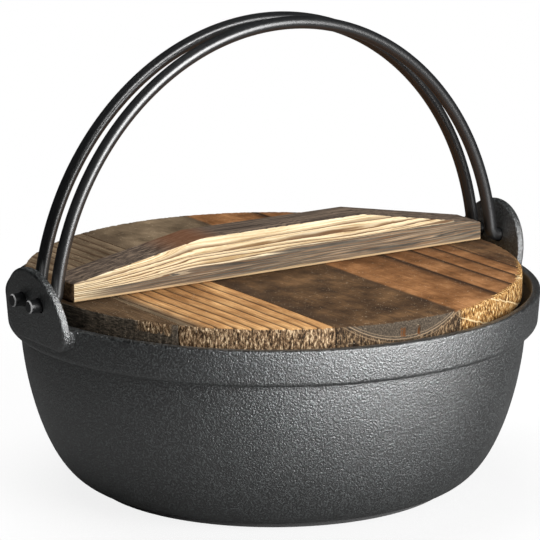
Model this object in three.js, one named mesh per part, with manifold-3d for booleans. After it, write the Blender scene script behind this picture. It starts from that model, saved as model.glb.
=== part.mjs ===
// Cast iron pot with two wire bails and a wooden drop-in lid.
// Millimetres, Z up, origin at the middle of the base, X through the two ears.
import * as THREE from 'three';
import { mergeVertices } from 'three/addons/utils/BufferGeometryUtils.js';
import Module from 'manifold-3d';

const wasm = await Module();
wasm.setup();

// Pot: bowl on a low foot, with a thick collar around the rim
const RIM_RADIUS = 125;
const POT_HEIGHT = 92.6;
const COLLAR_HEIGHT = 17;
const COLLAR_TAPER = 1;
const COLLAR_STEP = 5.75;
const RIM_WALL = 4.4;
const RIM_ROUND = 1.2;
const COLLAR_ROUND = 2.5;
const FOOT_RADIUS = 86;
const FOOT_HEIGHT = 2.4;
const BOWL_WALL = 4.6;
const BOWL_FULLNESS = 1.57;
const FLOOR_THICKNESS = 5;
const LEDGE_DEPTH = 4.9;
const POT_SEGMENTS = 80;
const BOWL_STEPS = 11;

// Ears: plates cast on the collar, leaning out a little, each with two holes
const EAR_RADIUS = 24.7;
const EAR_RISE = 24.5;
const EAR_FLARE = 4.3;
const EAR_SINK = 0.6;
const EAR_SKIRT = 11.4;
const EAR_CORNER = 8.3;
const EAR_THICKNESS = 4.2;
const EAR_ROUND = 1.6;
const EAR_FILLET = 2.5;
const EAR_ROOT_DEPTH = 10;
const HINGE_RISE = 8.7;
const HOLE_SPACING = 14.7;
const HOLE_PLAY = 1;
const HOLE_SEGMENTS = 24;

// Bails: one round wire each, ends turned out through the ears
const WIRE_DIAMETER = 6;
const WIRE_SEGMENTS = 14;
const BEND_RADIUS = 5;
const STUB_LENGTH = 5.6;
const LEG_LEAN = 7.4;
const ARCH_HEIGHT = 115.4;
const ARCH_STEPS = 24;
const BEND_STEPS = 5;

// Lid: edge-joined boards under one batten, screwed from below
const FIT_GAP = 0.3;
const LID_TO_RIM = 4.1;
const LID_THICKNESS = 12.5;
const LID_TO_WIRE = 1.55;
const LID_ROUND = 0.8;
const BATTEN_SETBACK = 2.5;
const BATTEN_WIDTH = 19.6;
const BATTEN_HEIGHT = 21.2;
const BATTEN_END_HEIGHT = 8.6;
const BATTEN_FLAT_LENGTH = 89;
const BATTEN_BEVEL = 0.6;
const LEFT_BOARD_WIDTH = 22.2;
const MIDDLE_BOARD_WIDTH = 55;
const SCREW_COUNT = 5;
const SCREW_INSET = 12;
const SCREW_HEAD_RADIUS = 4;
const SCREW_HEAD_HEIGHT = 2.6;
const SCREW_RADIUS = 2;
const SCREW_BITE = 8;
const SCREW_POINT = 4;
const SCREW_SLOT_WIDTH = 1;
const SCREW_SLOT_DEPTH = 1;
const SCREW_SLOT_LENGTH = 4.8;
const SCREW_SEGMENTS = 16;

// Sizes that follow from the ones above
const WIRE_RADIUS = WIRE_DIAMETER / 2;
const RIM_INNER = RIM_RADIUS - RIM_WALL;
const COLLAR_BOTTOM = POT_HEIGHT - COLLAR_HEIGHT;
const COLLAR_BASE_RADIUS = RIM_RADIUS - COLLAR_TAPER;
const BOWL_RADIUS = COLLAR_BASE_RADIUS - COLLAR_STEP;
const BOWL_INNER = BOWL_RADIUS - BOWL_WALL;
const LEDGE_TOP = POT_HEIGHT - LEDGE_DEPTH;
const EAR_INNER = RIM_RADIUS - EAR_SINK;
const EAR_OUTER = EAR_INNER + EAR_THICKNESS;
const EAR_CENTRE = POT_HEIGHT + EAR_RISE - EAR_RADIUS;
const EAR_ROOT = Math.sqrt(RIM_RADIUS ** 2 - EAR_RADIUS ** 2);
const EAR_SLOPE = EAR_FLARE / EAR_RISE;
const HINGE_HEIGHT = POT_HEIGHT + HINGE_RISE;
const HINGE_OUTER = EAR_OUTER + HINGE_RISE * EAR_SLOPE;
const HOLE_RADIUS = (WIRE_DIAMETER + HOLE_PLAY) / 2;
const LID_RADIUS = RIM_INNER - LID_TO_RIM;
const LEG_HALF_SPAN = LID_RADIUS + LID_TO_WIRE + WIRE_RADIUS;
const LID_BOTTOM = LEDGE_TOP + FIT_GAP;
const LID_TOP = LID_BOTTOM + LID_THICKNESS;
const BATTEN_HALF_LENGTH = LID_RADIUS - BATTEN_SETBACK;
const SCREW_LENGTH = LID_THICKNESS + SCREW_BITE;

// Points on a circular arc, for profiles and outlines
function arc(centreX, centreY, radius, from, to, steps) {
  const points = [];
  for (let i = 0; i <= steps; i += 1) {
    const angle = from + (to - from) * i / steps;
    points.push([centreX + radius * Math.cos(angle), centreY + radius * Math.sin(angle)]);
  }
  return points;
}

// Profile of radius and height turned about Z
function turned(profile, segments) {
  const points = profile.map(([radius, height]) => new THREE.Vector2(radius, height));
  const geometry = new THREE.LatheGeometry(points, segments);
  geometry.rotateX(Math.PI / 2);
  return geometry;
}

// Closed skin through rings of equal count, with a fan at each end
function skinned(rings) {
  const count = rings[0].length;
  const positions = rings.flat().flatMap((point) => point.toArray());
  const index = [];
  for (let r = 0; r < rings.length - 1; r += 1) {
    for (let i = 0; i < count; i += 1) {
      const a = r * count + i;
      const b = r * count + (i + 1) % count;
      index.push(a, b, b + count, a, b + count, a + count);
    }
  }
  const last = (rings.length - 1) * count;
  for (let i = 1; i < count - 1; i += 1) {
    index.push(0, i + 1, i);
    index.push(last, last + i, last + i + 1);
  }
  const geometry = new THREE.BufferGeometry();
  geometry.setAttribute('position', new THREE.Float32BufferAttribute(positions, 3));
  geometry.setIndex(index);
  return geometry;
}

// Solid for cutting and joining, made from a closed geometry
function solidOf(geometry) {
  const bare = geometry.clone();
  bare.deleteAttribute('normal');
  bare.deleteAttribute('uv');
  const merged = mergeVertices(bare);
  const corners = merged.index.array;
  const triangles = [];
  for (let i = 0; i < corners.length; i += 3) {
    const [a, b, c] = [corners[i], corners[i + 1], corners[i + 2]];
    if (a !== b && b !== c && c !== a) triangles.push(a, b, c);
  }
  const vertProperties = new Float32Array(merged.attributes.position.array);
  const triVerts = new Uint32Array(triangles);
  return new wasm.Manifold(new wasm.Mesh({ numProp: 3, vertProperties, triVerts }));
}

// Geometry for drawing, made from a finished solid
function geometryOf(solid) {
  const mesh = solid.getMesh();
  const geometry = new THREE.BufferGeometry();
  geometry.setAttribute('position', new THREE.BufferAttribute(mesh.vertProperties, 3));
  geometry.setIndex(new THREE.BufferAttribute(mesh.triVerts, 1));
  geometry.computeVertexNormals();
  return geometry;
}

// Box between two corners
function boxBetween(low, high) {
  const size = high.map((value, axis) => value - low[axis]);
  const geometry = new THREE.BoxGeometry(...size);
  geometry.translate(...high.map((value, axis) => (value + low[axis]) / 2));
  return solidOf(geometry);
}

// Full-bellied curve from the floor out and up to the wall
function bowlCurve(lowRadius, lowHeight, highRadius, highHeight) {
  const points = [];
  for (let i = 0; i <= BOWL_STEPS; i += 1) {
    const angle = Math.PI / 2 * i / BOWL_STEPS;
    const fall = Math.cos(angle) ** (2 / BOWL_FULLNESS);
    const radius = lowRadius + (highRadius - lowRadius) * Math.sin(angle);
    points.push([radius, highHeight - (highHeight - lowHeight) * fall]);
  }
  return points;
}

// Outside of the casting: foot disc, bowl, stepped collar, rounded rim
function outsideProfile() {
  return [
    [0, 0],
    [FOOT_RADIUS, 0],
    ...bowlCurve(FOOT_RADIUS, FOOT_HEIGHT, BOWL_RADIUS, COLLAR_BOTTOM),
    ...arc(COLLAR_BASE_RADIUS - COLLAR_ROUND, COLLAR_BOTTOM + COLLAR_ROUND, COLLAR_ROUND, -Math.PI / 2, 0, 4),
    ...arc(RIM_RADIUS - RIM_ROUND, POT_HEIGHT - RIM_ROUND, RIM_ROUND, 0, Math.PI / 2, 3),
    [0, POT_HEIGHT],
  ];
}

// Inside of the casting: floor, wall, ledge for the lid, rounded mouth
function insideProfile() {
  const above = POT_HEIGHT + RIM_ROUND;
  return [
    [0, FLOOR_THICKNESS],
    ...bowlCurve(FOOT_RADIUS - BOWL_WALL, FLOOR_THICKNESS, BOWL_INNER, COLLAR_BOTTOM),
    [BOWL_INNER, LEDGE_TOP],
    [RIM_INNER, LEDGE_TOP],
    ...arc(RIM_INNER + RIM_ROUND, POT_HEIGHT - RIM_ROUND, RIM_ROUND, Math.PI, Math.PI / 2, 3),
    [RIM_INNER + RIM_ROUND, above],
    [0, above],
  ];
}

// Ear outline in Y and Z: round top, straight skirt, rounded lower corners
function earOutline() {
  const bottom = EAR_CENTRE - EAR_SKIRT + EAR_CORNER;
  const side = EAR_RADIUS - EAR_CORNER;
  return [
    ...arc(0, EAR_CENTRE, EAR_RADIUS, 0, Math.PI, 32),
    ...arc(-side, bottom, EAR_CORNER, Math.PI, 1.5 * Math.PI, 6),
    ...arc(side, bottom, EAR_CORNER, 1.5 * Math.PI, 2 * Math.PI, 6),
  ];
}

// Outline grown by an offset; every point moves along its own rounding
function grown(outline, offset) {
  const count = outline.length;
  return outline.map(([y, z], i) => {
    const [beforeY, beforeZ] = outline[(i + count - 1) % count];
    const [afterY, afterZ] = outline[(i + 1) % count];
    const length = Math.hypot(afterY - beforeY, afterZ - beforeZ);
    return [y + offset * (afterZ - beforeZ) / length, z - offset * (afterY - beforeY) / length];
  });
}

// Leaning plate through stations of X, as they are at rim height, and outline offset
function earPlate(stations) {
  const outline = earOutline();
  const rings = stations.map(([x, offset]) => (
    grown(outline, offset).map(([y, z]) => new THREE.Vector3(x + (z - POT_HEIGHT) * EAR_SLOPE, y, z))
  ));
  return solidOf(skinned(rings));
}

// Ear on the +X side: rounded plate, and below the rim a filleted root
function ear() {
  const innerEdge = arc(EAR_INNER + EAR_ROUND / 2, -EAR_ROUND / 2, EAR_ROUND / 2, Math.PI, Math.PI / 2, 3);
  const outerEdge = arc(EAR_OUTER - EAR_ROUND, -EAR_ROUND, EAR_ROUND, Math.PI / 2, 0, 4);
  const plate = earPlate([...innerEdge, ...outerEdge]);
  const fillet = arc(EAR_ROOT - FIT_GAP + EAR_FILLET, EAR_FILLET, EAR_FILLET, Math.PI, 1.5 * Math.PI, 4);
  const buried = [EAR_OUTER - EAR_ROUND, -EAR_ROUND];
  const flared = earPlate([[EAR_ROOT - EAR_ROOT_DEPTH, EAR_FILLET], ...fillet.slice(0, -1), buried]);
  const reach = 2 * RIM_RADIUS;
  const belowRim = boxBetween([0, -reach, 0], [reach, reach, POT_HEIGHT - RIM_ROUND / 2]);
  return plate.add(flared.intersect(belowRim));
}

// Cutter for one hinge hole through the ear on the +X side
function hingeHole(y) {
  const geometry = new THREE.CylinderGeometry(HOLE_RADIUS, HOLE_RADIUS, 3 * EAR_THICKNESS, HOLE_SEGMENTS);
  geometry.rotateZ(Math.PI / 2);
  geometry.translate(HINGE_OUTER - EAR_THICKNESS / 2, y, HINGE_HEIGHT);
  return solidOf(geometry);
}

// Bowl, collar, foot and both ears in one casting
function potBody() {
  let casting = solidOf(turned(outsideProfile(), POT_SEGMENTS));
  const rightEar = ear();
  casting = casting.add(rightEar).add(rightEar.rotate([0, 0, 180]));
  casting = casting.subtract(solidOf(turned(insideProfile(), POT_SEGMENTS)));
  for (const y of [-HOLE_SPACING / 2, HOLE_SPACING / 2]) {
    const hole = hingeHole(y);
    casting = casting.subtract(hole).subtract(hole.rotate([0, 0, 180]));
  }
  return geometryOf(casting);
}

// Middle line of half a bail in X and Z: stub, bend, then an ellipse that starts along the leaning leg
function halfBailLine() {
  const lean = THREE.MathUtils.degToRad(LEG_LEAN);
  const legBottom = HINGE_HEIGHT + BEND_RADIUS * (1 - Math.sin(lean));
  const bendX = LEG_HALF_SPAN + BEND_RADIUS * Math.cos(lean);
  const bend = arc(bendX, HINGE_HEIGHT + BEND_RADIUS, BEND_RADIUS, 1.5 * Math.PI, Math.PI + lean, BEND_STEPS);
  const rise = HINGE_HEIGHT + ARCH_HEIGHT - legBottom;
  const slope = Math.tan(lean);
  const drop = rise ** 2 * slope / (LEG_HALF_SPAN - 2 * rise * slope);
  const start = Math.asin(drop / (rise + drop));
  const halfWidth = LEG_HALF_SPAN / Math.cos(start);
  const line = [[HINGE_OUTER + STUB_LENGTH, HINGE_HEIGHT], ...bend];
  for (let i = 1; i <= ARCH_STEPS; i += 1) {
    const angle = start + (Math.PI / 2 - start) * i / ARCH_STEPS;
    line.push([halfWidth * Math.cos(angle), legBottom - drop + (rise + drop) * Math.sin(angle)]);
  }
  return line;
}

// Round wire along the whole bail line, upright in the plane of constant Y
function bail(y) {
  const half = halfBailLine();
  const mirrored = half.slice(0, -1).reverse().map(([x, z]) => [-x, z]);
  const line = [...half, ...mirrored];
  const rings = line.map(([x, z], i) => {
    const [beforeX, beforeZ] = line[Math.max(i - 1, 0)];
    const [afterX, afterZ] = line[Math.min(i + 1, line.length - 1)];
    const length = Math.hypot(afterX - beforeX, afterZ - beforeZ);
    const outward = new THREE.Vector3((afterZ - beforeZ) / length, 0, -(afterX - beforeX) / length);
    return arc(0, 0, WIRE_RADIUS, 0, 2 * Math.PI, WIRE_SEGMENTS).slice(0, -1).map(([out, side]) => (
      new THREE.Vector3(x + out * outward.x, y + side, z + out * outward.z)
    ));
  });
  return geometryOf(solidOf(skinned(rings)));
}

// Screw profile pointing up from the lid's underside, grown by a gap for its hole
function screwProfile(gap) {
  const base = LID_BOTTOM + FIT_GAP - gap;
  const head = base + gap + SCREW_HEAD_HEIGHT;
  const tip = LID_BOTTOM + SCREW_LENGTH;
  return [
    [0, base],
    [SCREW_HEAD_RADIUS + gap, base],
    [SCREW_RADIUS + gap, head],
    [SCREW_RADIUS + gap, tip - SCREW_POINT + gap],
    [0, tip + gap],
  ];
}

// Screw positions along the batten, evenly spread about the middle
function screwPlaces() {
  const spread = BATTEN_HALF_LENGTH - SCREW_INSET;
  return Array.from({ length: SCREW_COUNT }, (_, i) => spread * (2 * i / (SCREW_COUNT - 1) - 1));
}

// Countersunk wood screw with a cross slot in its head
function screw(x) {
  let body = solidOf(turned(screwProfile(0), SCREW_SEGMENTS));
  const half = SCREW_SLOT_WIDTH / 2;
  const reach = SCREW_SLOT_LENGTH / 2;
  const low = LID_BOTTOM;
  const high = LID_BOTTOM + FIT_GAP + SCREW_SLOT_DEPTH;
  body = body.subtract(boxBetween([-reach, -half, low], [reach, half, high]));
  body = body.subtract(boxBetween([-half, -reach, low], [half, reach, high]));
  return geometryOf(body.translate([x, 0, 0]));
}

// All screw holes as one cutter
function screwHoles() {
  const hole = solidOf(turned(screwProfile(FIT_GAP), SCREW_SEGMENTS));
  return screwPlaces().map((x) => hole.translate([x, 0, 0])).reduce((all, next) => all.add(next));
}

// One board of the lid, cut from the round disc between two seams
function lidBoard(fromX, toX) {
  const disc = solidOf(turned([
    [0, LID_BOTTOM],
    [LID_RADIUS - LID_ROUND, LID_BOTTOM],
    [LID_RADIUS, LID_BOTTOM + LID_ROUND],
    [LID_RADIUS, LID_TOP - LID_ROUND],
    [LID_RADIUS - LID_ROUND, LID_TOP],
    [0, LID_TOP],
  ], POT_SEGMENTS));
  const reach = 2 * LID_RADIUS;
  const low = [fromX + FIT_GAP / 2, -reach, LID_BOTTOM - reach];
  const high = [toX - FIT_GAP / 2, reach, LID_TOP + reach];
  return geometryOf(disc.intersect(boxBetween(low, high)).subtract(screwHoles()));
}

// Batten across the boards: level crown, both ends sloping down
function lidBatten() {
  const half = BATTEN_HALF_LENGTH - BATTEN_BEVEL;
  const flat = BATTEN_FLAT_LENGTH / 2;
  const foot = BATTEN_BEVEL;
  const shape = new THREE.Shape();
  shape.moveTo(-half, foot);
  shape.lineTo(half, foot);
  shape.lineTo(half, BATTEN_END_HEIGHT - BATTEN_BEVEL);
  shape.lineTo(flat, BATTEN_HEIGHT - BATTEN_BEVEL);
  shape.lineTo(-flat, BATTEN_HEIGHT - BATTEN_BEVEL);
  shape.lineTo(-half, BATTEN_END_HEIGHT - BATTEN_BEVEL);
  const depth = BATTEN_WIDTH - 2 * BATTEN_BEVEL;
  const bevel = { bevelThickness: BATTEN_BEVEL, bevelSize: BATTEN_BEVEL, bevelSegments: 2 };
  const geometry = new THREE.ExtrudeGeometry(shape, { depth, bevelEnabled: true, ...bevel });
  geometry.translate(0, 0, -depth / 2);
  geometry.rotateX(Math.PI / 2);
  geometry.translate(0, 0, LID_TOP + FIT_GAP);
  return geometryOf(solidOf(geometry).subtract(screwHoles()));
}

// Black cast iron
function iron() {
  return new THREE.MeshStandardMaterial({ color: 0x2e3033, roughness: 0.75, metalness: 0.4 });
}

// Black coated wire
function wire() {
  return new THREE.MeshStandardMaterial({ color: 0x26282b, roughness: 0.45, metalness: 0.6 });
}

// Scorched softwood of the lid
function boardWood() {
  return new THREE.MeshStandardMaterial({ color: 0x8a6a4a, roughness: 0.8, metalness: 0 });
}

// Paler softwood of the batten
function battenWood() {
  return new THREE.MeshStandardMaterial({ color: 0xd8bd92, roughness: 0.75, metalness: 0 });
}

// Plain steel of the screws
function steel() {
  return new THREE.MeshStandardMaterial({ color: 0xb0b2b4, roughness: 0.4, metalness: 0.9 });
}

// Named mesh added to the part
function place(part, name, geometry, material) {
  const mesh = new THREE.Mesh(geometry, material);
  mesh.name = name;
  part.add(mesh);
}

const part = new THREE.Group();
place(part, 'pot_body', potBody(), iron());
place(part, 'bail_front', bail(-HOLE_SPACING / 2), wire());
place(part, 'bail_rear', bail(HOLE_SPACING / 2), wire());
const leftSeam = LEFT_BOARD_WIDTH - LID_RADIUS;
const edges = [-2 * LID_RADIUS, leftSeam, leftSeam + MIDDLE_BOARD_WIDTH, 2 * LID_RADIUS];
['left', 'middle', 'right'].forEach((side, i) => {
  place(part, `lid_board_${side}`, lidBoard(edges[i], edges[i + 1]), boardWood());
});
place(part, 'lid_batten', lidBatten(), battenWood());
screwPlaces().forEach((x, i) => place(part, `batten_screw_${i + 1}`, screw(x), steel()));

export default part;
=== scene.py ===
import math

import bpy
import numpy as np
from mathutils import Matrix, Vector, noise


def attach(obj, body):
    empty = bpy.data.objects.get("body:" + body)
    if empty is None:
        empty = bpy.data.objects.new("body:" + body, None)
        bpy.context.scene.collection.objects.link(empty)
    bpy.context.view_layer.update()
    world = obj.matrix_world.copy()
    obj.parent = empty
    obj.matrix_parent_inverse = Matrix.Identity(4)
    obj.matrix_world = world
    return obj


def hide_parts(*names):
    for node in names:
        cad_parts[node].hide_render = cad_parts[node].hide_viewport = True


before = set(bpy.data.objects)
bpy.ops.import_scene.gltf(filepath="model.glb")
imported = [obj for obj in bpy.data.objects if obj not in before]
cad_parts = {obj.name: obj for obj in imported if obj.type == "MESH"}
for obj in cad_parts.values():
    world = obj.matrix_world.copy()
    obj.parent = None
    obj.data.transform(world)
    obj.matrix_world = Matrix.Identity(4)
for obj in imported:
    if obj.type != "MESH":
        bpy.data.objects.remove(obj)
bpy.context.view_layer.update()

MM = 0.001

# Pot
RIM_RADIUS = 125
POT_HEIGHT = 92.6
COLLAR_HEIGHT = 17
COLLAR_TAPER = 1
COLLAR_STEP = 5.75
RIM_WALL = 4.4
RIM_ROUND = 1.2
COLLAR_ROUND = 2.5
STEP_FILLET = 1.2
FOOT_RADIUS = 86
FOOT_HEIGHT = 2.4
FOOT_ROUND = 0.6
BOWL_WALL = 4.6
BOWL_FULLNESS = 1.57
FLOOR_THICKNESS = 5
LEDGE_DEPTH = 4.9
POT_SEGMENTS = 192
BOWL_STEPS = 32
ROUND_STEPS = 6

# Ears
EAR_RADIUS = 24.7
EAR_RISE = 24.5
EAR_FLARE = 4.3
EAR_SINK = 0.6
EAR_SKIRT = 11.4
EAR_CORNER = 8.3
EAR_THICKNESS = 4.2
EAR_ROUND = 1.6
EAR_FILLET = 2.5
EAR_ROOT_DEPTH = 8
EAR_TOP_STEPS = 64
EAR_CORNER_STEPS = 12
HINGE_RISE = 8.7
HOLE_SPACING = 14.7
HOLE_RADIUS = 3.5
HOLE_SEGMENTS = 40

# Bails
WIRE_RADIUS = 3
WIRE_SEGMENTS = 24
WIRE_CHAMFER = 0.5
BEND_RADIUS = 5
STUB_LENGTH = 5.6
LEG_LEAN = 7.4
ARCH_HEIGHT = 115.4
ARCH_STEPS = 72
BEND_STEPS = 10

# Lid boards
FIT_GAP = 0.3
LID_TO_RIM = 4.1
LID_THICKNESS = 12.5
LID_TO_WIRE = 1.55
LEFT_BOARD_WIDTH = 22.2
MIDDLE_BOARD_WIDTH = 55
LID_ROUND = 0.8
ROUND_DROP_SHARE = 0.3
ROUND_INSET_SHARE = 0.25
TOP_WEAR = 2
LID_SEGMENTS = 720
LEAST_ARC_STEPS = 12
LID_EDGE_STEPS = 8

# Saw marks on the round edge of the lid: depth, grain per millimetre, share of the height, fractal terms
SAWN_DEPTH = 0.7
SAWN_GRAIN = 0.6
SAWN_UPWARD = 0.3
SAWN_FRACTAL = (1.0, 2.0, 2)

# Two gouges in the front edge of the right board: place along X and half width
GOUGES = [(-7.5, 1.1), (0.7, 0.7)]
GOUGE_TOP = 3.5
GOUGE_BOTTOM = 7.5
GOUGE_DEPTH = 1.0

# Batten
BATTEN_SETBACK = 2.5
BATTEN_WIDTH = 19.6
BATTEN_HEIGHT = 21.2
BATTEN_END_HEIGHT = 8.6
BATTEN_FLAT_LENGTH = 89
BATTEN_ROUND = 0.7
BATTEN_ROUND_STEPS = 3
BATTEN_STATIONS = 320
BATTEN_FRAY = 0.6
FRAY_GRAIN = 0.35
SCREW_COUNT = 5

# Edges sharper than this many degrees stay sharp
POT_SHARP_ANGLE = 38
SHARP_ANGLE = 40

# Sizes that follow from the ones above
RIM_INNER = RIM_RADIUS - RIM_WALL
COLLAR_BOTTOM = POT_HEIGHT - COLLAR_HEIGHT
COLLAR_BASE_RADIUS = RIM_RADIUS - COLLAR_TAPER
BOWL_RADIUS = COLLAR_BASE_RADIUS - COLLAR_STEP
BOWL_INNER = BOWL_RADIUS - BOWL_WALL
LEDGE_TOP = POT_HEIGHT - LEDGE_DEPTH
EAR_INNER = RIM_RADIUS - EAR_SINK
EAR_OUTER = EAR_INNER + EAR_THICKNESS
EAR_CENTRE = POT_HEIGHT + EAR_RISE - EAR_RADIUS
EAR_ROOT = math.sqrt(RIM_RADIUS ** 2 - EAR_RADIUS ** 2)
EAR_SLOPE = EAR_FLARE / EAR_RISE
HINGE_HEIGHT = POT_HEIGHT + HINGE_RISE
HINGE_OUTER = EAR_OUTER + HINGE_RISE * EAR_SLOPE
WIRE_END = HINGE_OUTER + STUB_LENGTH
LID_RADIUS = RIM_INNER - LID_TO_RIM
LEG_HALF_SPAN = LID_RADIUS + LID_TO_WIRE + WIRE_RADIUS
LID_BOTTOM = LEDGE_TOP + FIT_GAP
LID_TOP = LID_BOTTOM + LID_THICKNESS
LEFT_SEAM = LEFT_BOARD_WIDTH - LID_RADIUS
RIGHT_SEAM = LEFT_SEAM + MIDDLE_BOARD_WIDTH
BATTEN_BOTTOM = LID_TOP + FIT_GAP
BATTEN_HALF_LENGTH = LID_RADIUS - BATTEN_SETBACK
BATTEN_HALF_FLAT = BATTEN_FLAT_LENGTH / 2

# Noise is given as its scale per millimetre, or one for each of X, Y and Z, its detail and its roughness.
# Relief is given as strength and height in millimetres, and a range runs from none to full.

# Noise values where a spread of numbers or colours starts and ends
SPREAD_STOPS = (0.3, 0.7)

# Iron
PEBBLES = (1.1, 3.0, 0.62)
IRON_PATCHES = (0.03, 3.0, 0.55)
IRON_SKIN = [(0.004, 0.0042, 0.0046), (0.007, 0.0072, 0.0076)]
IRON_TIPS = (0.36, 0.385, 0.385)
TIP_RANGE = (0.5, 0.66)
TIP_COVER = 0.9
IRON_ROUGHNESS = (0.34, 0.4)
IRON_IOR = 2.9
PEBBLE_RELIEF = (1.0, 0.55)
# Height over which the foot and the inside of the rim fade into painted shade
DULL_AND_SHADE_BLEND = 1

# Wire
WIRE_PATCHES = (0.06, 3.0, 0.6)
WIRE_GRAIN = (1.4, 3.0, 0.6)
WIRE_SKIN = [(0.010, 0.0105, 0.011), (0.016, 0.0163, 0.017)]
# Pale grey of the end chamfers: bare metal and a painted glint
WIRE_BARE_AND_GLINT = (0.5, 0.5, 0.5)
WIRE_ROUGHNESS = (0.26, 0.38)
WIRE_IOR = 2.0
WIRE_RELIEF = (0.15, 0.15)
CHAMFER_FACING = (0.3, 0.5)
BELOW_END_FACING = (0.97, 0.9)

# Steel of the screws
STEEL_MARKS = (2.0, 3.0, 0.6)
STEEL_COLOURS = [(0.5, 0.5, 0.5), (0.6, 0.6, 0.61)]
STEEL_ROUGHNESS = (0.3, 0.42)

# Finish of all the boards
FIBRES = ((1.3, 0.07, 1.3), 4.0, 0.68)
BLOTCHES = ((0.05, 0.025, 0.05), 4.0, 0.62)
SAWN_FIBRES = ((1.2, 1.2, 0.4), 5.0, 0.72)
SPECKS = (1.0, 2.0, 0.6)
SPECK_RANGE = (0.67, 0.73)
SPECK_COVER = 0.6
SPECK_COLOUR = (0.62, 0.5, 0.35)
SIDE_FACING = (0.8, 0.5)
LATE_RELIEF = 0.7
BOARD_RELIEF = (0.6, 0.4)
BOARD_ROUGHNESS = (0.66, 0.82)
WOOD_SPECULAR = 0.15

# One growth ring from its start to its end: how dark the late wood is at each share of the width
RING_STOPS = [(0.0, 0.7), (0.05, 0.0), (0.35, 0.06), (0.7, 0.26), (0.84, 0.62), (0.93, 1.0)]

# Wood colours, each from the hollows to the raised fibres
TONE_STOPS = (0.38, 0.5, 0.62)
SAP = [(0.096, 0.041, 0.015), (0.22, 0.099, 0.039), (0.42, 0.205, 0.085)]
HEART = [(0.026, 0.016, 0.011), (0.077, 0.044, 0.023), (0.18, 0.1, 0.047)]
TAN = [(0.25, 0.116, 0.041), (0.48, 0.25, 0.098), (0.77, 0.46, 0.2)]
# Dull wood, greyed with a painted sheen where it is used towards the back of the lid
DULL_AND_SHEEN = [(0.075, 0.053, 0.033), (0.155, 0.112, 0.07), (0.26, 0.19, 0.12)]
LEFT = [(0.05, 0.03, 0.017), (0.1, 0.061, 0.033), (0.175, 0.108, 0.057)]
# Scorched left edge, with the ear's shade painted into it
SCORCH_AND_SHADE = [(0.035, 0.029, 0.022), (0.08, 0.066, 0.05), (0.17, 0.135, 0.1)]
CREAM = [(0.46, 0.31, 0.15), (0.78, 0.62, 0.385), (0.92, 0.79, 0.55)]
CHAR = [(0.03, 0.03, 0.03), (0.09, 0.082, 0.072), (0.33, 0.24, 0.155)]
BURNT = [(0.04, 0.03, 0.024), (0.1, 0.075, 0.058), (0.21, 0.155, 0.112)]
SMILE = [(0.048, 0.037, 0.027), (0.085, 0.066, 0.048), (0.145, 0.112, 0.08)]

# Sawn edges, from the gaps to the tips of the fibres
EDGE_STOPS = (0.4, 0.48, 0.55, 0.64)
GOLDEN_EDGE = [(0.04, 0.017, 0.006), (0.24, 0.11, 0.032), (0.56, 0.31, 0.1), (1.0, 0.8, 0.45)]
SCORCHED_EDGE = [(0.022, 0.013, 0.008), (0.13, 0.078, 0.042), (0.35, 0.22, 0.12), (1.0, 0.78, 0.5)]
DARK_EDGE = [(0.015, 0.01, 0.007), (0.06, 0.037, 0.021), (0.16, 0.1, 0.054), (0.5, 0.35, 0.2)]

# Rings and heart of the right board, about a pith line above the lid
PITH_X = -6
PITH_HEIGHT = 42
RING_CROWDING = 1136
RING_WANDER = 1.5
RING_GRAIN = ((0.004, 0.011, 0.004), 2.0, 0.5)
HEART_RADIUS = 51
HEART_RANGE = (HEART_RADIUS + 0.7, HEART_RADIUS - 0.7)
HEART_LEFT = (PITH_X - 10, PITH_X - 20)
MARGIN_RANGE = (HEART_RADIUS - 4, HEART_RADIUS)
MARGIN_COVER = 0.5
MARGIN_COLOUR = (0.04, 0.026, 0.018)
MOTTLE = (0.06, 5.0, 0.6)
SAP_LINE_COVER = 0.94
SAP_LINE = (0.026, 0.016, 0.011)
DARK_RIGHT = (93, 97)
DARK_RIGHT_COVER = 0.85
# Towards the back the heart turns to the dull colour with its painted sheen
HEART_SHEEN_BACK = (0.0, 30.0)

# Front edge of the right board: golden and chipped from GOLD_START on, grey with pale lines at the heart
GOLD_START = 26
GOLD_RANGE = (GOLD_START - 2, GOLD_START + 2)
CHIP_STEP = 12
CHIP_SLOPE = 0.35
CHIP_WANDER = 2.5
CHIP_GRAIN = (0.2, 2.0, 0.5)
CHIP_STOPS = [(0.42, 0.0), (0.46, 0.75), (0.5, 0.0)]
CHIP_COLOUR = (1.0, 0.8, 0.47)
SMILE_BAND = (HEART_RADIUS - 8, HEART_RADIUS + 4)
SMILE_STOPS = [
    (0.5, 0.0), (0.54, 0.5), (0.57, 0.0),
    (0.64, 0.0), (0.68, 0.9), (0.71, 0.0),
    (0.8, 0.0), (0.84, 0.5), (0.87, 0.0),
]
SMILE_END = (GOLD_START + 1, GOLD_START - 3)
SMILE_LINE = (0.45, 0.32, 0.2)
GOUGE_BLUR = 0.3
GOUGE_FADE = 0.4
GOUGE_GRAIN = (0.8, 2.0, 0.5)
GOUGE_BREAKS = (0.4, 0.5)
GOUGE_COLOUR = (0.15, 0.06, 0.02)

# Top of the right board chipped along its front edge
CHIPPED_GRAIN = (0.35, 3.0, 0.6)
CHIPPED_WANDER = 8.0
CHIPPED_RANGE = (LID_RADIUS + 1.8, LID_RADIUS + 2.4)
CHIPPED_ALONG = (GOLD_START, GOLD_START + 25)
CHIPPED_FRONT = (-45.0, -65.0)

# Stripes of the middle board
STRIPE_STEP = 6.3
STRIPE_WANDER = 5.0
STRIPE_GRAIN = ((0.012, 0.012, 0.012), 2.0, 0.5)
TAN_LINE_COVER = 0.9
TAN_LINE = (0.05, 0.027, 0.015)
DULL_LEFT = (LEFT_SEAM + 12, LEFT_SEAM + 2)
# Towards the back the tan turns to the dull colour with its painted sheen
PAINTED_SHEEN_BACK = (-5.0, 25.0)

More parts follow.
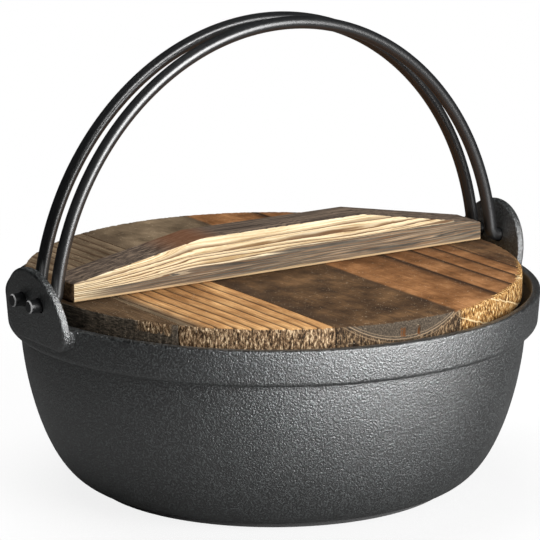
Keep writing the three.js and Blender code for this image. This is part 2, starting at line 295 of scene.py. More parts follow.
# Left board and the torn place on its edge
LEFT_STRIPE_STEP = 3.1
LEFT_LINE_COVER = 0.45
LEFT_LINE = (0.05, 0.03, 0.018)
TORN_GRAIN = (0.4, 3.0, 0.6)
TORN_WANDER = 8.0
TORN_HEIGHT = (LID_TOP - 1.5, LID_TOP - 0.5)
TORN_START = (-106.0, -103.0)
TORN_END = (LEFT_SEAM - 1.5, LEFT_SEAM - 3.0)

# Lines along the batten's sides: they draw together towards the left end and crowd low down
LINE_TOP = 26
LINE_CROWDING = 40
LINE_STOPS = [(0.0, 0.7), (0.08, 0.0), (0.45, 0.06), (0.7, 0.5), (0.88, 1.0)]
LINE_FAN = 1.75
LINE_TILT = 0.012
LINE_SWAY = 6.0
SWAY_GRAIN = ((0.012, 0.0, 0.22), 3.0, 0.5)
THREAD_PACE = 0.02
THREADS = ((1.0, 0.3, 1.3), 4.0, 0.65)
LINE_FADE = (17.0, 25.0)
LINE_COVER = [(0.0, 0.95), (1.0, 0.55)]
CREAM_LINE = (0.115, 0.05, 0.019)
LINE_RELIEF = 0.4
BATTEN_RELIEF = (0.4, 0.3)
BATTEN_ROUGHNESS = (0.7, 0.84)

# Charred lower part of the batten's sides and the straw-coloured strip at the bottom
CHAR_LINE_COVER = 0.75
CHAR_LINE = (0.2, 0.115, 0.06)
CHAR_GRAIN = ((0.03, 0.0, 0.2), 3.0, 0.5)
CHAR_WANDER = 3.0
CHAR_STREAKS = 5.0
CHAR_RISE = 2.2
CHAR_RISE_RANGE = (-45.0, 45.0)
CHAR_RANGE = (16.0, 14.4)
CHAR_START = (-BATTEN_HALF_LENGTH - 2, -88.0)
CHAR_COVER = 0.94
STRAW = (0.6, 0.42, 0.23)
STRAW_RAGGED = 3.0
STRAW_RANGE = (2.9, 2.2)

# Batten's scorched top, reddish where the left slope starts, and its ends
TOP_GRAIN = ((0.025, 0.9, 0.9), 4.0, 0.68)
TOP_FACING = (0.55, 0.8)
RED_SHIFT = 6.0
RED_RANGE = (20.0, 3.0)
RED_COVER = 0.7
RED_COLOUR = (0.16, 0.066, 0.03)
END_GRAIN = (0.7, 4.0, 0.6)
END_FACING = (0.5, 0.8)

# Studio, with lengths in millimetres
FLOOR_REACH = 600
FLOOR_COVER = 0.15
FLOOR_SHADE = 0.9
FADE_START = 150
WALL_RADIUS = 2600
WALL_HEIGHT = 2400
WALL_DEPTH = 30
WALL_SEGMENTS = 48
WALL_SHADE = 0.03
STUDIO_ROUGHNESS = 0.9
WORLD_STRENGTH = 0.45

# Softboxes in metres: name, place to the right, towards the camera and up, size, watts, seen in reflections
SOFTBOXES = [
    ("key", (0.92, 0.86, 0.42), (0.8, 0.9), 27, True),
    ("top", (-0.2, -0.35, 1.3), (1.1, 1.1), 20, False),
    ("fill", (-1.1, 0.9, 0.6), (0.9, 0.9), 3.5, False),
]
LAMP_AIM = Vector((0, 0, 0.08))

# Camera fitted to the rim, foot, lid and batten: places in metres, lens and sensor in millimetres
CAMERA_AZIMUTH = math.radians(-33.4)
CAMERA_ELEVATION = math.radians(13.655)
CAMERA_DISTANCE = 1.7075
CAMERA_SIDE = -0.00139
CAMERA_AIM_HEIGHT = 0.0988
CAMERA_LENS = 243.33
SENSOR_WIDTH = 36
RIGHT = Vector((math.cos(CAMERA_AZIMUTH), math.sin(CAMERA_AZIMUTH), 0))
BACK = Vector((
    math.sin(CAMERA_AZIMUTH) * math.cos(CAMERA_ELEVATION),
    -math.cos(CAMERA_AZIMUTH) * math.cos(CAMERA_ELEVATION),
    math.sin(CAMERA_ELEVATION),
))


# Mesh object from points in millimetres
def mesh_object(name, points, faces):
    mesh = bpy.data.meshes.new(name)
    mesh.from_pydata([Vector(point) * MM for point in points], [], faces)
    mesh.validate()
    mesh.update()
    obj = bpy.data.objects.new(name, mesh)
    bpy.context.scene.collection.objects.link(obj)
    return obj


# Smooth shading that keeps edges sharper than the angle
def shade(obj, degrees):
    obj.data.shade_smooth()
    obj.data.set_sharp_from_angle(angle=math.radians(degrees))


# Points on a circular arc, from and to in turns
def arc(centre, radius, start, end, steps):
    angles = np.linspace(start, end, steps + 1) * 2 * math.pi
    return [(centre[0] + radius * math.cos(a), centre[1] + radius * math.sin(a)) for a in angles]


# Faces between neighbouring closed rings of equal count
def ring_faces(ring_count, count):
    faces = []
    for r in range(ring_count - 1):
        for i in range(count):
            a = r * count + i
            b = r * count + (i + 1) % count
            faces.append((a, b, b + count, a + count))
    return faces


# Closed skin through rings, with a flat face at each end
def skinned(name, rings):
    count = len(rings[0])
    points = [point for ring in rings for point in ring]
    last = (len(rings) - 1) * count
    faces = ring_faces(len(rings), count)
    faces.append(tuple(reversed(range(count))))
    faces.append(tuple(range(last, last + count)))
    return mesh_object(name, points, faces)


# Profile of radius and height turned about Z; it starts and ends on the axis
def turned(name, profile, segments):
    rings = []
    for radius, height in profile[1:-1]:
        angles = np.arange(segments) / segments * 2 * math.pi
        rings.append([(radius * math.cos(a), radius * math.sin(a), height) for a in angles])
    points = [point for ring in rings for point in ring]
    faces = ring_faces(len(rings), segments)
    first, last = len(points), len(points) + 1
    points += [(0, 0, profile[0][1]), (0, 0, profile[-1][1])]
    start = (len(rings) - 1) * segments
    for i in range(segments):
        j = (i + 1) % segments
        faces.append((first, j, i))
        faces.append((last, start + i, start + j))
    return mesh_object(name, points, faces)


# One solid joined with, cut by or kept inside another, which is used up
def combined(obj, other, operation):
    modifier = obj.modifiers.new(operation, "BOOLEAN")
    modifier.operation = operation
    modifier.solver = "EXACT"
    modifier.object = other
    bpy.context.view_layer.update()
    evaluated = obj.evaluated_get(bpy.context.evaluated_depsgraph_get())
    mesh = bpy.data.meshes.new_from_object(evaluated)
    obj.modifiers.clear()
    obj.data = mesh
    bpy.data.objects.remove(other)


# Full-bellied curve from the floor out and up to the wall
def bowl_curve(low, high):
    points = []
    for angle in np.linspace(0, math.pi / 2, BOWL_STEPS + 1):
        fall = max(math.cos(angle), 0) ** (2 / BOWL_FULLNESS)
        radius = low[0] + (high[0] - low[0]) * math.sin(angle)
        points.append((radius, high[1] - (high[1] - low[1]) * fall))
    return points


# Outside of the casting from the middle of the foot to the rim, closed across the top
def outside_profile():
    fillet_centre = (BOWL_RADIUS + STEP_FILLET, COLLAR_BOTTOM - STEP_FILLET)
    collar_low = (COLLAR_BASE_RADIUS - COLLAR_ROUND, COLLAR_BOTTOM + COLLAR_ROUND)
    rim_out = (RIM_RADIUS - RIM_ROUND, POT_HEIGHT - RIM_ROUND)
    return [
        (0, 0),
        (FOOT_RADIUS - FOOT_ROUND, 0),
        (FOOT_RADIUS, FOOT_ROUND),
        *bowl_curve((FOOT_RADIUS, FOOT_HEIGHT), (BOWL_RADIUS, COLLAR_BOTTOM - STEP_FILLET)),
        *arc(fillet_centre, STEP_FILLET, 0.5, 0.25, ROUND_STEPS)[1:],
        *arc(collar_low, COLLAR_ROUND, -0.25, 0, ROUND_STEPS),
        *arc(rim_out, RIM_ROUND, 0, 0.25, ROUND_STEPS),
        (0, POT_HEIGHT),
    ]


# Hollow of the pot with the lid's ledge, opening out over the rounded rim
def inside_profile():
    rim_in = (RIM_INNER + RIM_ROUND, POT_HEIGHT - RIM_ROUND)
    return [
        (0, FLOOR_THICKNESS),
        *bowl_curve((FOOT_RADIUS - BOWL_WALL, FLOOR_THICKNESS), (BOWL_INNER, COLLAR_BOTTOM)),
        (BOWL_INNER, LEDGE_TOP),
        (RIM_INNER, LEDGE_TOP),
        *arc(rim_in, RIM_ROUND, 0.5, 0.25, ROUND_STEPS),
        (RIM_INNER + RIM_ROUND, POT_HEIGHT + RIM_ROUND),
        (0, POT_HEIGHT + RIM_ROUND),
    ]


# Ear outline in Y and Z: round top, straight skirt, rounded lower corners
def ear_outline():
    bottom = EAR_CENTRE - EAR_SKIRT + EAR_CORNER
    side = EAR_RADIUS - EAR_CORNER
    return [
        *arc((0, EAR_CENTRE), EAR_RADIUS, 0, 0.5, EAR_TOP_STEPS),
        *arc((-side, bottom), EAR_CORNER, 0.5, 0.75, EAR_CORNER_STEPS),
        *arc((side, bottom), EAR_CORNER, 0.75, 1, EAR_CORNER_STEPS),
    ]


# Outline grown by an offset
def grown(outline, offset):
    points = np.array(outline)
    along = np.roll(points, -1, axis=0) - np.roll(points, 1, axis=0)
    along /= np.linalg.norm(along, axis=1)[:, None]
    return points + offset * np.stack([along[:, 1], -along[:, 0]], axis=1)


# Leaning plate through stations of X, as they are at rim height, and outline offset
def ear_plate(name, side, stations):
    outline = ear_outline()
    rings = []
    for x, offset in stations:
        ring = grown(outline, offset)
        rings.append([(side * (x + (z - POT_HEIGHT) * EAR_SLOPE), side * y, z) for y, z in ring])
    return skinned(name, rings)


# Block that keeps what is below the rim
def below_rim(name):
    reach = 2 * RIM_RADIUS
    top = POT_HEIGHT - RIM_ROUND / 2
    rings = []
    for z in (0, top):
        rings.append([(-reach, -reach, z), (reach, -reach, z), (reach, reach, z), (-reach, reach, z)])
    return skinned(name, rings)


# Ear on one side: rounded plate, and below the rim a filleted root
def ear(side):
    inner_round = EAR_ROUND / 2
    inner_edge = arc((EAR_INNER + inner_round, -inner_round), inner_round, 0.5, 0.25, ROUND_STEPS)
    outer_edge = arc((EAR_OUTER - EAR_ROUND, -EAR_ROUND), EAR_ROUND, 0.25, 0, ROUND_STEPS)
    plate = ear_plate("ear_plate", side, inner_edge + outer_edge)
    fillet = arc((EAR_ROOT - FIT_GAP + EAR_FILLET, EAR_FILLET), EAR_FILLET, 0.5, 0.75, 2 * ROUND_STEPS)
    start = (EAR_ROOT - EAR_ROOT_DEPTH, EAR_FILLET)
    buried = (EAR_OUTER - EAR_ROUND, -EAR_ROUND)
    root = ear_plate("ear_root", side, [start, *fillet[:-1], buried])
    combined(root, below_rim("below_rim"), "INTERSECT")
    combined(plate, root, "UNION")
    return plate


# Cutter for one hinge hole
def hinge_hole(side, y):
    rings = []
    for x in (HINGE_OUTER - 2 * EAR_THICKNESS, HINGE_OUTER + EAR_THICKNESS):
        ring = arc((y, HINGE_HEIGHT), HOLE_RADIUS, 0, 1, HOLE_SEGMENTS)[:-1]
        rings.append([(side * x, side * across, up) for across, up in ring])
    return skinned("hole", rings)


# Bowl, collar, foot and both ears in one casting, hollowed after the ears are on
def pot_casting():
    pot = turned("pot_casting", outside_profile(), POT_SEGMENTS)
    for side in (-1, 1):
        combined(pot, ear(side), "UNION")
    combined(pot, turned("hollow", inside_profile(), POT_SEGMENTS), "DIFFERENCE")
    for side in (-1, 1):
        for y in (-HOLE_SPACING / 2, HOLE_SPACING / 2):
            combined(pot, hinge_hole(side, y), "DIFFERENCE")
    shade(pot, POT_SHARP_ANGLE)
    return pot


# Middle line of half a bail in X and Z: stub, bend, then an ellipse that starts along the leaning leg
def half_bail_line():
    lean = math.radians(LEG_LEAN)
    leg_bottom = HINGE_HEIGHT + BEND_RADIUS * (1 - math.sin(lean))
    bend_centre = (LEG_HALF_SPAN + BEND_RADIUS * math.cos(lean), HINGE_HEIGHT + BEND_RADIUS)
    rise = HINGE_HEIGHT + ARCH_HEIGHT - leg_bottom
    slope = math.tan(lean)
    drop = rise ** 2 * slope / (LEG_HALF_SPAN - 2 * rise * slope)
    start = math.asin(drop / (rise + drop))
    half_width = LEG_HALF_SPAN / math.cos(start)
    line = arc(bend_centre, BEND_RADIUS, 0.75, 0.5 + LEG_LEAN / 360, BEND_STEPS)
    for angle in np.linspace(start, math.pi / 2, ARCH_STEPS + 1)[1:]:
        height = leg_bottom - drop + (rise + drop) * math.sin(angle)
        line.append((half_width * math.cos(angle), height))
    return line


# Round wire along the whole bail line, with chamfered ends
def bail(name, y):
    half = half_bail_line()
    line = half + [(-x, z) for x, z in reversed(half[:-1])]
    path = [(WIRE_END, HINGE_HEIGHT), (WIRE_END - WIRE_CHAMFER, HINGE_HEIGHT), *line]
    path += [(WIRE_CHAMFER - WIRE_END, HINGE_HEIGHT), (-WIRE_END, HINGE_HEIGHT)]
    points = np.array(path)
    along = np.gradient(points, axis=0)
    along /= np.linalg.norm(along, axis=1)[:, None]
    radii = np.full(len(points), float(WIRE_RADIUS))
    radii[[0, -1]] = WIRE_RADIUS - WIRE_CHAMFER
    rings = []
    for (x, z), (dx, dz), radius in zip(points, along, radii):
        circle = arc((0, 0), radius, 0, 1, WIRE_SEGMENTS)[:-1]
        rings.append([(x + out * dz, y + side, z - out * dx) for out, side in circle])
    obj = skinned(name, rings)
    shade(obj, SHARP_ANGLE)
    return obj


# Board outline in X and Y between two seams
def board_outline(from_x, to_x, radius):
    low = max(from_x + FIT_GAP / 2, -radius)
    high = min(to_x - FIT_GAP / 2, radius)
    start = math.acos(high / radius)
    end = math.acos(low / radius)
    steps = max(LEAST_ARC_STEPS, round(LID_SEGMENTS * (end - start) / (2 * math.pi)))
    back = [(radius * math.cos(a), radius * math.sin(a)) for a in np.linspace(start, end, steps + 1)]
    front = [(x, -y) for x, y in reversed(back)]
    if low <= -radius:
        front = front[1:]
    if high >= radius:
        front = front[:-1]
    return np.array(back + front)


# Depth of the saw's marks and gouges at a place on a board's edge
def sawn_depth(x, y, z):
    place = Vector((x, y, SAWN_UPWARD * z)) * SAWN_GRAIN
    depth = SAWN_DEPTH * abs(noise.fractal(place, *SAWN_FRACTAL))
    for middle, half_width in GOUGES:
        if y < 0 and abs(x - middle) < half_width and GOUGE_TOP < LID_TOP - z < GOUGE_BOTTOM:
            depth += GOUGE_DEPTH
    return depth


# Board of the lid, with a worn and rough sawn round edge and tight straight seams
def lid_board(name, from_x, to_x):
    heights = np.linspace(LID_BOTTOM + LID_ROUND, LID_TOP - LID_ROUND, LID_EDGE_STEPS)
    levels = [(LID_BOTTOM, LID_ROUND, 1), *[(z, 0, 1) for z in heights]]
    levels.append((LID_TOP - ROUND_DROP_SHARE * LID_ROUND, ROUND_INSET_SHARE * LID_ROUND, TOP_WEAR))
    levels.append((LID_TOP, LID_ROUND, TOP_WEAR))
    outline = board_outline(from_x, to_x, LID_RADIUS)
    low, high = outline[:, 0].min(), outline[:, 0].max()
    rings = []
    for z, inset, wear in levels:
        ring = []
        for x, y in outline:
            radius = LID_RADIUS - inset - wear * sawn_depth(x, y, z)
            at_seam = x in (low, high) and abs(y) > FIT_GAP
            across = x if at_seam else min(max(x * radius / LID_RADIUS, low), high)
            ring.append((across, math.copysign(math.sqrt(max(0, radius ** 2 - across ** 2)), y), z))
        rings.append(ring)
    obj = skinned(name, rings)
    shade(obj, SHARP_ANGLE)
    return obj


# Height of the batten above the boards
def batten_height(x):
    fall = max(0, abs(x) - BATTEN_HALF_FLAT) / (BATTEN_HALF_LENGTH - BATTEN_HALF_FLAT)
    return BATTEN_HEIGHT - (BATTEN_HEIGHT - BATTEN_END_HEIGHT) * fall


# Batten across the boards, with worn edges and a frayed top edge at the front
def batten():
    half = BATTEN_HALF_LENGTH
    inside = np.linspace(-half + BATTEN_ROUND, half - BATTEN_ROUND, BATTEN_STATIONS)
    stations = [(-half, BATTEN_ROUND), *[(x, 0) for x in inside], (half, BATTEN_ROUND)]
    rings = []
    for x, inset in stations:
        width = BATTEN_WIDTH / 2 - inset
        low = BATTEN_BOTTOM + inset
        high = BATTEN_BOTTOM + batten_height(x) - inset
        corner = BATTEN_ROUND
        fray = BATTEN_FRAY * max(0, noise.noise(Vector((FRAY_GRAIN * x, 0, 0))))
        centres = [
            (width - corner, high - corner),
            (-(width - corner - fray), high - corner - fray),
            (-(width - corner), low + corner),
            (width - corner, low + corner),
        ]
        ring = []
        for quarter, centre in enumerate(centres):
            ring += arc(centre, corner, quarter / 4, (quarter + 1) / 4, BATTEN_ROUND_STEPS)
        rings.append([(x, y, z) for y, z in ring])
    obj = skinned("batten", rings)
    shade(obj, SHARP_ANGLE)
    return obj


# Shader nodes of one material, with short calls for the usual kinds
class Graph:
    def __init__(self, name):
        self.material = bpy.data.materials.new(name)
        self.material.use_nodes = True
        self.tree = self.material.node_tree
        self.shader = self.tree.nodes["Principled BSDF"]

    def add(self, kind, inputs=(), **settings):
        node = self.tree.nodes.new(kind)
        for key, value in settings.items():
            setattr(node, key, value)
        for key, value in dict(inputs).items():
            self.feed(node.inputs[key], value)
        return node

    def feed(self, socket, value):
        if isinstance(value, bpy.types.NodeSocket):
            self.tree.links.new(value, socket)
        else:
            socket.default_value = value

    def set(self, **inputs):
        for key, value in inputs.items():
            self.feed(self.shader.inputs[key.replace("_", " ")], value)

    def math(self, operation, a, b=0.0, c=0.0):
        return self.add("ShaderNodeMath", {0: a, 1: b, 2: c}, operation=operation).outputs[0]

    def times(self, a, b):
        return self.math("MULTIPLY", a, b)

    # Base plus a share of the value
    def plus(self, base, value, share):
        return self.math("MULTIPLY_ADD", value, share, base)

    def average(self, a, b):
        return self.plus(self.times(b, 0.5), a, 0.5)

    def larger(self, a, b):
        return self.math("MAXIMUM", a, b)

    def distance(self, a, b):
        return self.math("SQRT", self.plus(self.times(a, a), b, b))

    # Place on the object in millimetres
    def place(self):
        coordinates = self.add("ShaderNodeTexCoord")
        scaled = self.add("ShaderNodeVectorMath", {0: coordinates.outputs["Object"]}, operation="SCALE")
        scaled.inputs["Scale"].default_value = 1 / MM
        return scaled.outputs[0]

    def parts(self, vector):
        return self.add("ShaderNodeSeparateXYZ", {0: vector}).outputs

    # How much the surface faces along each axis of the object
    def facing(self):
        return self.parts(self.add("ShaderNodeTexCoord").outputs["Normal"])

    # Soft step from 0 at low to 1 at high
    def step(self, value, low, high):
        inputs = {"Value": value, "From Min": low, "From Max": high}
        return self.add("ShaderNodeMapRange", inputs, interpolation_type="SMOOTHSTEP").outputs[0]

    def noise(self, vector, scale, detail, roughness):
        inputs = {"Vector": vector, "Scale": scale, "Detail": detail, "Roughness": roughness}
        return self.add("ShaderNodeTexNoise", inputs).outputs["Fac"]

    # Noise stretched differently along each axis
    def grain(self, vector, stretch, detail, roughness):
        stretched = self.add("ShaderNodeVectorMath", {0: vector, 1: stretch}, operation="MULTIPLY").outputs[0]
        return self.noise(stretched, 1.0, detail, roughness)

    def ramp(self, factor, stops):
        node = self.add("ShaderNodeValToRGB", {"Fac": factor})
        elements = node.color_ramp.elements
        while len(elements) < len(stops):
            elements.new(1.0)
        for element, (position, colour) in zip(elements, stops):
            element.position = position
            element.color = grey(colour) if isinstance(colour, (int, float)) else (*colour, 1)
        return node.outputs["Color"]

    # Number or colour between two, by a noise
    def spread(self, factor, low, high):
        return self.ramp(factor, list(zip(SPREAD_STOPS, (low, high))))

    # Two colours mixed: inputs 0, 6 and 7 take the factor and the colours, and output 2 gives the result
    def mix(self, factor, a, b):
        node = self.add("ShaderNodeMix", data_type="RGBA")
        for index, value in ((0, factor), (6, a), (7, b)):
            plain = isinstance(value, tuple) and len(value) == 3
            self.feed(node.inputs[index], (*value, 1) if plain else value)
        return node.outputs[2]

    def bump(self, height, strength, distance):
        inputs = {"Height": height, "Strength": strength, "Distance": distance * MM}
        return self.add("ShaderNodeBump", inputs).outputs["Normal"]


def grey(value):
    return (value, value, value, 1)


# Black cast iron with a fine pebbled skin, worn to bare metal on the tips of its grains,
# rougher and without bare tips at the foot and inside the rim, which darkens them as painted shade
def iron():
    graph = Graph("iron")
    place = graph.place()
    x, y, height = graph.parts(place)
    pebbles = graph.noise(place, *PEBBLES)
    patches = graph.noise(place, *IRON_PATCHES)
    # Painted shade: at the foot and in the recess inside the rim the iron loses its bare tips and turns
    # rough, so that it renders darker
    inside = graph.step(graph.distance(x, y), RIM_INNER + RIM_ROUND, RIM_INNER)
    inside = graph.times(inside, graph.step(height, COLLAR_BOTTOM, COLLAR_BOTTOM + DULL_AND_SHADE_BLEND))
    dull_and_painted_light = graph.larger(inside, graph.step(height, FOOT_HEIGHT + DULL_AND_SHADE_BLEND, FOOT_HEIGHT))
    tips = graph.times(graph.step(pebbles, *TIP_RANGE), TIP_COVER)
    tips = graph.times(tips, graph.math("SUBTRACT", 1.0, dull_and_painted_light))
    rough = graph.larger(graph.spread(patches, *IRON_ROUGHNESS), dull_and_painted_light)
    colour = graph.mix(tips, graph.spread(patches, *IRON_SKIN), IRON_TIPS)
    graph.set(Base_Color=colour, Metallic=tips, Roughness=rough, IOR=IRON_IOR)
    graph.set(Normal=graph.bump(pebbles, *PEBBLE_RELIEF))
    return graph.material


# Satin black wire, painted pale grey on the chamfers of its ends as bare metal and a painted glint
def wire():
    graph = Graph("wire")
    place = graph.place()
    patches = graph.noise(place, *WIRE_PATCHES)
    grain = graph.noise(place, *WIRE_GRAIN)
    reach = graph.math("ABSOLUTE", graph.parts(place)[0])
    slant = graph.math("ABSOLUTE", graph.facing()[0])
    chamfer = graph.times(graph.step(slant, *CHAMFER_FACING), graph.step(slant, *BELOW_END_FACING))
    near_end = graph.step(reach, WIRE_END - 2 * WIRE_CHAMFER, WIRE_END - WIRE_CHAMFER)
    # Pale grey on the end chamfers: bare metal with a painted glint
    colour = graph.mix(graph.times(chamfer, near_end), graph.spread(patches, *WIRE_SKIN), WIRE_BARE_AND_GLINT)
    graph.set(Base_Color=colour, Roughness=graph.spread(grain, *WIRE_ROUGHNESS), IOR=WIRE_IOR)
    graph.set(Normal=graph.bump(grain, *WIRE_RELIEF))
    return graph.material


# Plain steel of the hidden screws
def steel():
    graph = Graph("steel")
    marks = graph.noise(graph.place(), *STEEL_MARKS)
    graph.set(Base_Color=graph.spread(marks, *STEEL_COLOURS), Metallic=1.0)
    graph.set(Roughness=graph.spread(marks, *STEEL_ROUGHNESS))
    return graph.material


# Growth rings as seen across the grain: pale early wood that darkens to a line and starts again sharply
def late_wood(graph, phase, stops):
    return graph.ramp(graph.math("FRACT", phase), stops)


# Fine fibres along Y, and the broader tone of a board
def fibres(graph, place):
    fine = graph.grain(place, *FIBRES)
    return fine, graph.average(fine, graph.grain(place, *BLOTCHES))


def toned(graph, tone, colours):
    return graph.ramp(tone, list(zip(TONE_STOPS, colours)))


# Rough sawn edge: pale fibres standing out of darker wood
def sawn_edge(graph, place, colours):
    return graph.ramp(graph.grain(place, *SAWN_FIBRES), list(zip(EDGE_STOPS, colours)))


# Upright sides of a board
def upright(graph):
    return graph.step(graph.math("ABSOLUTE", graph.facing()[2]), *SIDE_FACING)


# Finish shared by the boards: dry and brushed, with raised late wood and pale specks
def finish_board(graph, place, colour, late, fine):
    specks = graph.times(graph.step(graph.noise(place, *SPECKS), *SPECK_RANGE), SPECK_COVER)
    rough = graph.spread(fine, *BOARD_ROUGHNESS)
    colour = graph.mix(specks, colour, SPECK_COLOUR)
    graph.set(Base_Color=colour, Roughness=rough, Specular_IOR_Level=WOOD_SPECULAR)
    graph.set(Normal=graph.bump(graph.plus(fine, late, LATE_RELIEF), *BOARD_RELIEF))
    return graph.material


# Gouges in the front edge, 1 inside them
def gouged(graph, place, x, depth):
    whole = 0.0
    for middle, half_width in GOUGES:
        off = graph.math("ABSOLUTE", graph.math("SUBTRACT", x, middle))
        whole = graph.larger(whole, graph.step(off, half_width + GOUGE_BLUR, half_width - GOUGE_BLUR))
    whole = graph.times(whole, graph.step(graph.noise(place, *GOUGE_GRAIN), *GOUGE_BREAKS))
    whole = graph.times(whole, graph.step(depth, GOUGE_TOP - GOUGE_FADE, GOUGE_TOP + GOUGE_FADE))
    return graph.times(whole, graph.step(depth, GOUGE_BOTTOM + GOUGE_FADE, GOUGE_BOTTOM - GOUGE_FADE))


# Front edge of the right board: grey under the heart, dark beside it, golden and chipped at the right
def right_edge(graph, place, x, depth, radius, heart, fine):
    chip = graph.plus(depth, graph.math("SUBTRACT", x, GOLD_START), -CHIP_SLOPE)
    chip = graph.plus(chip, graph.noise(place, *CHIP_GRAIN), CHIP_WANDER)
    chip = graph.math("FRACT", graph.math("DIVIDE", chip, CHIP_STEP))
    golden = graph.mix(graph.ramp(chip, CHIP_STOPS), sawn_edge(graph, place, GOLDEN_EDGE), CHIP_COLOUR)
    outer = graph.mix(graph.step(x, *GOLD_RANGE), sawn_edge(graph, place, DARK_EDGE), golden)
    edge = graph.mix(heart, outer, toned(graph, fine, SMILE))
    lines = graph.ramp(graph.step(radius, *SMILE_BAND), SMILE_STOPS)
    edge = graph.mix(graph.times(lines, graph.step(x, *SMILE_END)), edge, SMILE_LINE)
    return graph.mix(gouged(graph, place, x, depth), edge, GOUGE_COLOUR)


# Flat-sawn right board: rings about a pith line above it, around a dark heart
def right_wood():
    graph = Graph("right_wood")
    place = graph.place()
    x, y, z = graph.parts(place)
    from_pith = graph.math("SUBTRACT", x, PITH_X + RING_WANDER / 2)
    across = graph.plus(from_pith, graph.grain(place, *RING_GRAIN), RING_WANDER)
    radius = graph.distance(across, graph.math("SUBTRACT", z, LID_TOP + PITH_HEIGHT))
    growth = graph.math("SUBTRACT", radius, PITH_HEIGHT)
    late = late_wood(graph, graph.math("DIVIDE", graph.times(growth, growth), RING_CROWDING), RING_STOPS)
    fine, tone = fibres(graph, place)
    tone = graph.average(graph.noise(place, *MOTTLE), tone)
    sap = graph.mix(graph.times(late, SAP_LINE_COVER), toned(graph, tone, SAP), SAP_LINE)
    dark = graph.times(graph.step(x, *DARK_RIGHT), DARK_RIGHT_COVER)
    sap = graph.mix(dark, sap, toned(graph, tone, HEART))
    # Painted sheen: the heart turns greyer towards the back
    core = graph.mix(graph.step(y, *HEART_SHEEN_BACK), toned(graph, tone, HEART), toned(graph, tone, DULL_AND_SHEEN))
    margin = graph.times(graph.step(radius, *MARGIN_RANGE), MARGIN_COVER)
    core = graph.mix(margin, core, MARGIN_COLOUR)
    heart = graph.step(radius, *HEART_RANGE)
    top = graph.mix(graph.larger(heart, graph.step(x, *HEART_LEFT)), sap, core)
    depth = graph.math("SUBTRACT", LID_TOP, z)
    edge = right_edge(graph, place, x, depth, radius, heart, fine)
    ragged = graph.plus(graph.distance(x, y), graph.noise(place, *CHIPPED_GRAIN), CHIPPED_WANDER)
    chipped = graph.times(graph.step(ragged, *CHIPPED_RANGE), graph.step(x, *CHIPPED_ALONG))
    chipped = graph.times(chipped, graph.step(y, *CHIPPED_FRONT))
    sides = graph.larger(upright(graph), chipped)
    return finish_board(graph, place, graph.mix(sides, top, edge), late, fine)


# Quarter-sawn middle board: straight dark stripes on tan, dull towards the left seam, and greyer towards the
# back with a painted sheen
def middle_wood():
    graph = Graph("middle_wood")
    place = graph.place()
    x, y, _ = graph.parts(place)
    across = graph.plus(x, graph.grain(place, *STRIPE_GRAIN), STRIPE_WANDER)
    late = late_wood(graph, graph.math("DIVIDE", across, -STRIPE_STEP), RING_STOPS)
    fine, tone = fibres(graph, place)
    # Duller at the left seam, and a painted sheen towards the back
    dull_and_painted_light = graph.larger(graph.step(x, *DULL_LEFT), graph.step(y, *PAINTED_SHEEN_BACK))
    tan = graph.mix(dull_and_painted_light, toned(graph, tone, TAN), toned(graph, tone, DULL_AND_SHEEN))
    top = graph.mix(graph.times(late, TAN_LINE_COVER), tan, TAN_LINE)
    edge = sawn_edge(graph, place, SCORCHED_EDGE)
    return finish_board(graph, place, graph.mix(upright(graph), top, edge), late, fine)


# Left board: dull brown with faint lines, its scorched edge, darkened further as painted shade from the ear,
# broken open near the seam
def left_wood():
    graph = Graph("left_wood")
    place = graph.place()
    x, _, z = graph.parts(place)
    late = late_wood(graph, graph.math("DIVIDE", x, LEFT_STRIPE_STEP), RING_STOPS)
    fine, tone = fibres(graph, place)
    top = graph.mix(graph.times(late, LEFT_LINE_COVER), toned(graph, tone, LEFT), LEFT_LINE)
    torn = graph.plus(z, graph.noise(place, *TORN_GRAIN), TORN_WANDER)
    torn = graph.times(graph.step(torn, *TORN_HEIGHT), graph.step(x, *TORN_START))
    torn = graph.times(torn, graph.step(x, *TORN_END))
    # The left edge is charred and carries painted shade from the ear, except where it is broken open
    edge = graph.mix(torn, toned(graph, fine, SCORCH_AND_SHADE), sawn_edge(graph, place, SCORCHED_EDGE))
    return finish_board(graph, place, graph.mix(upright(graph), top, edge), late, fine)


# Course of the lines along the batten: the height, stretched towards the left end, tilted and swayed
def line_course(graph, place, x, height):
    fan = {"Value": x, "From Min": -BATTEN_HALF_LENGTH, "From Max": -BATTEN_HALF_FLAT}
    fan.update({"To Min": LINE_FAN, "To Max": 1.0})
    spread = graph.add("ShaderNodeMapRange", fan, interpolation_type="SMOOTHSTEP").outputs[0]
    rise = graph.plus(graph.times(height, spread), x, -LINE_TILT)
    return graph.plus(rise, graph.grain(place, *SWAY_GRAIN), LINE_SWAY)


# Sides of the batten: cream with brown lines, charred low down, with a straw-coloured strip at the bottom
def batten_side(graph, place, x, height, course, late, fine):
    cover = graph.ramp(graph.step(course, *LINE_FADE), LINE_COVER)
    cream = graph.mix(graph.times(late, cover), toned(graph, fine, CREAM), CREAM_LINE)
    char = graph.mix(graph.times(late, CHAR_LINE_COVER), toned(graph, fine, CHAR), CHAR_LINE)
    low = graph.plus(course, fine, CHAR_STREAKS)
    low = graph.plus(low, graph.grain(place, *CHAR_GRAIN), CHAR_WANDER)
    low = graph.plus(low, graph.step(x, *CHAR_RISE_RANGE), -CHAR_RISE)
    charred = graph.times(graph.step(low, *CHAR_RANGE), graph.step(x, *CHAR_START))
    side = graph.mix(graph.times(charred, CHAR_COVER), cream, char)
    return graph.mix(graph.step(graph.plus(height, fine, STRAW_RAGGED), *STRAW_RANGE), side, STRAW)


# Scorched top of the batten, reddish where the left slope starts
def batten_top(graph, place, x):
    top = toned(graph, graph.grain(place, *TOP_GRAIN), BURNT)
    off = graph.math("ABSOLUTE", graph.math("ADD", x, BATTEN_HALF_FLAT + RED_SHIFT))
    return graph.mix(graph.times(graph.step(off, *RED_RANGE), RED_COVER), top, RED_COLOUR)


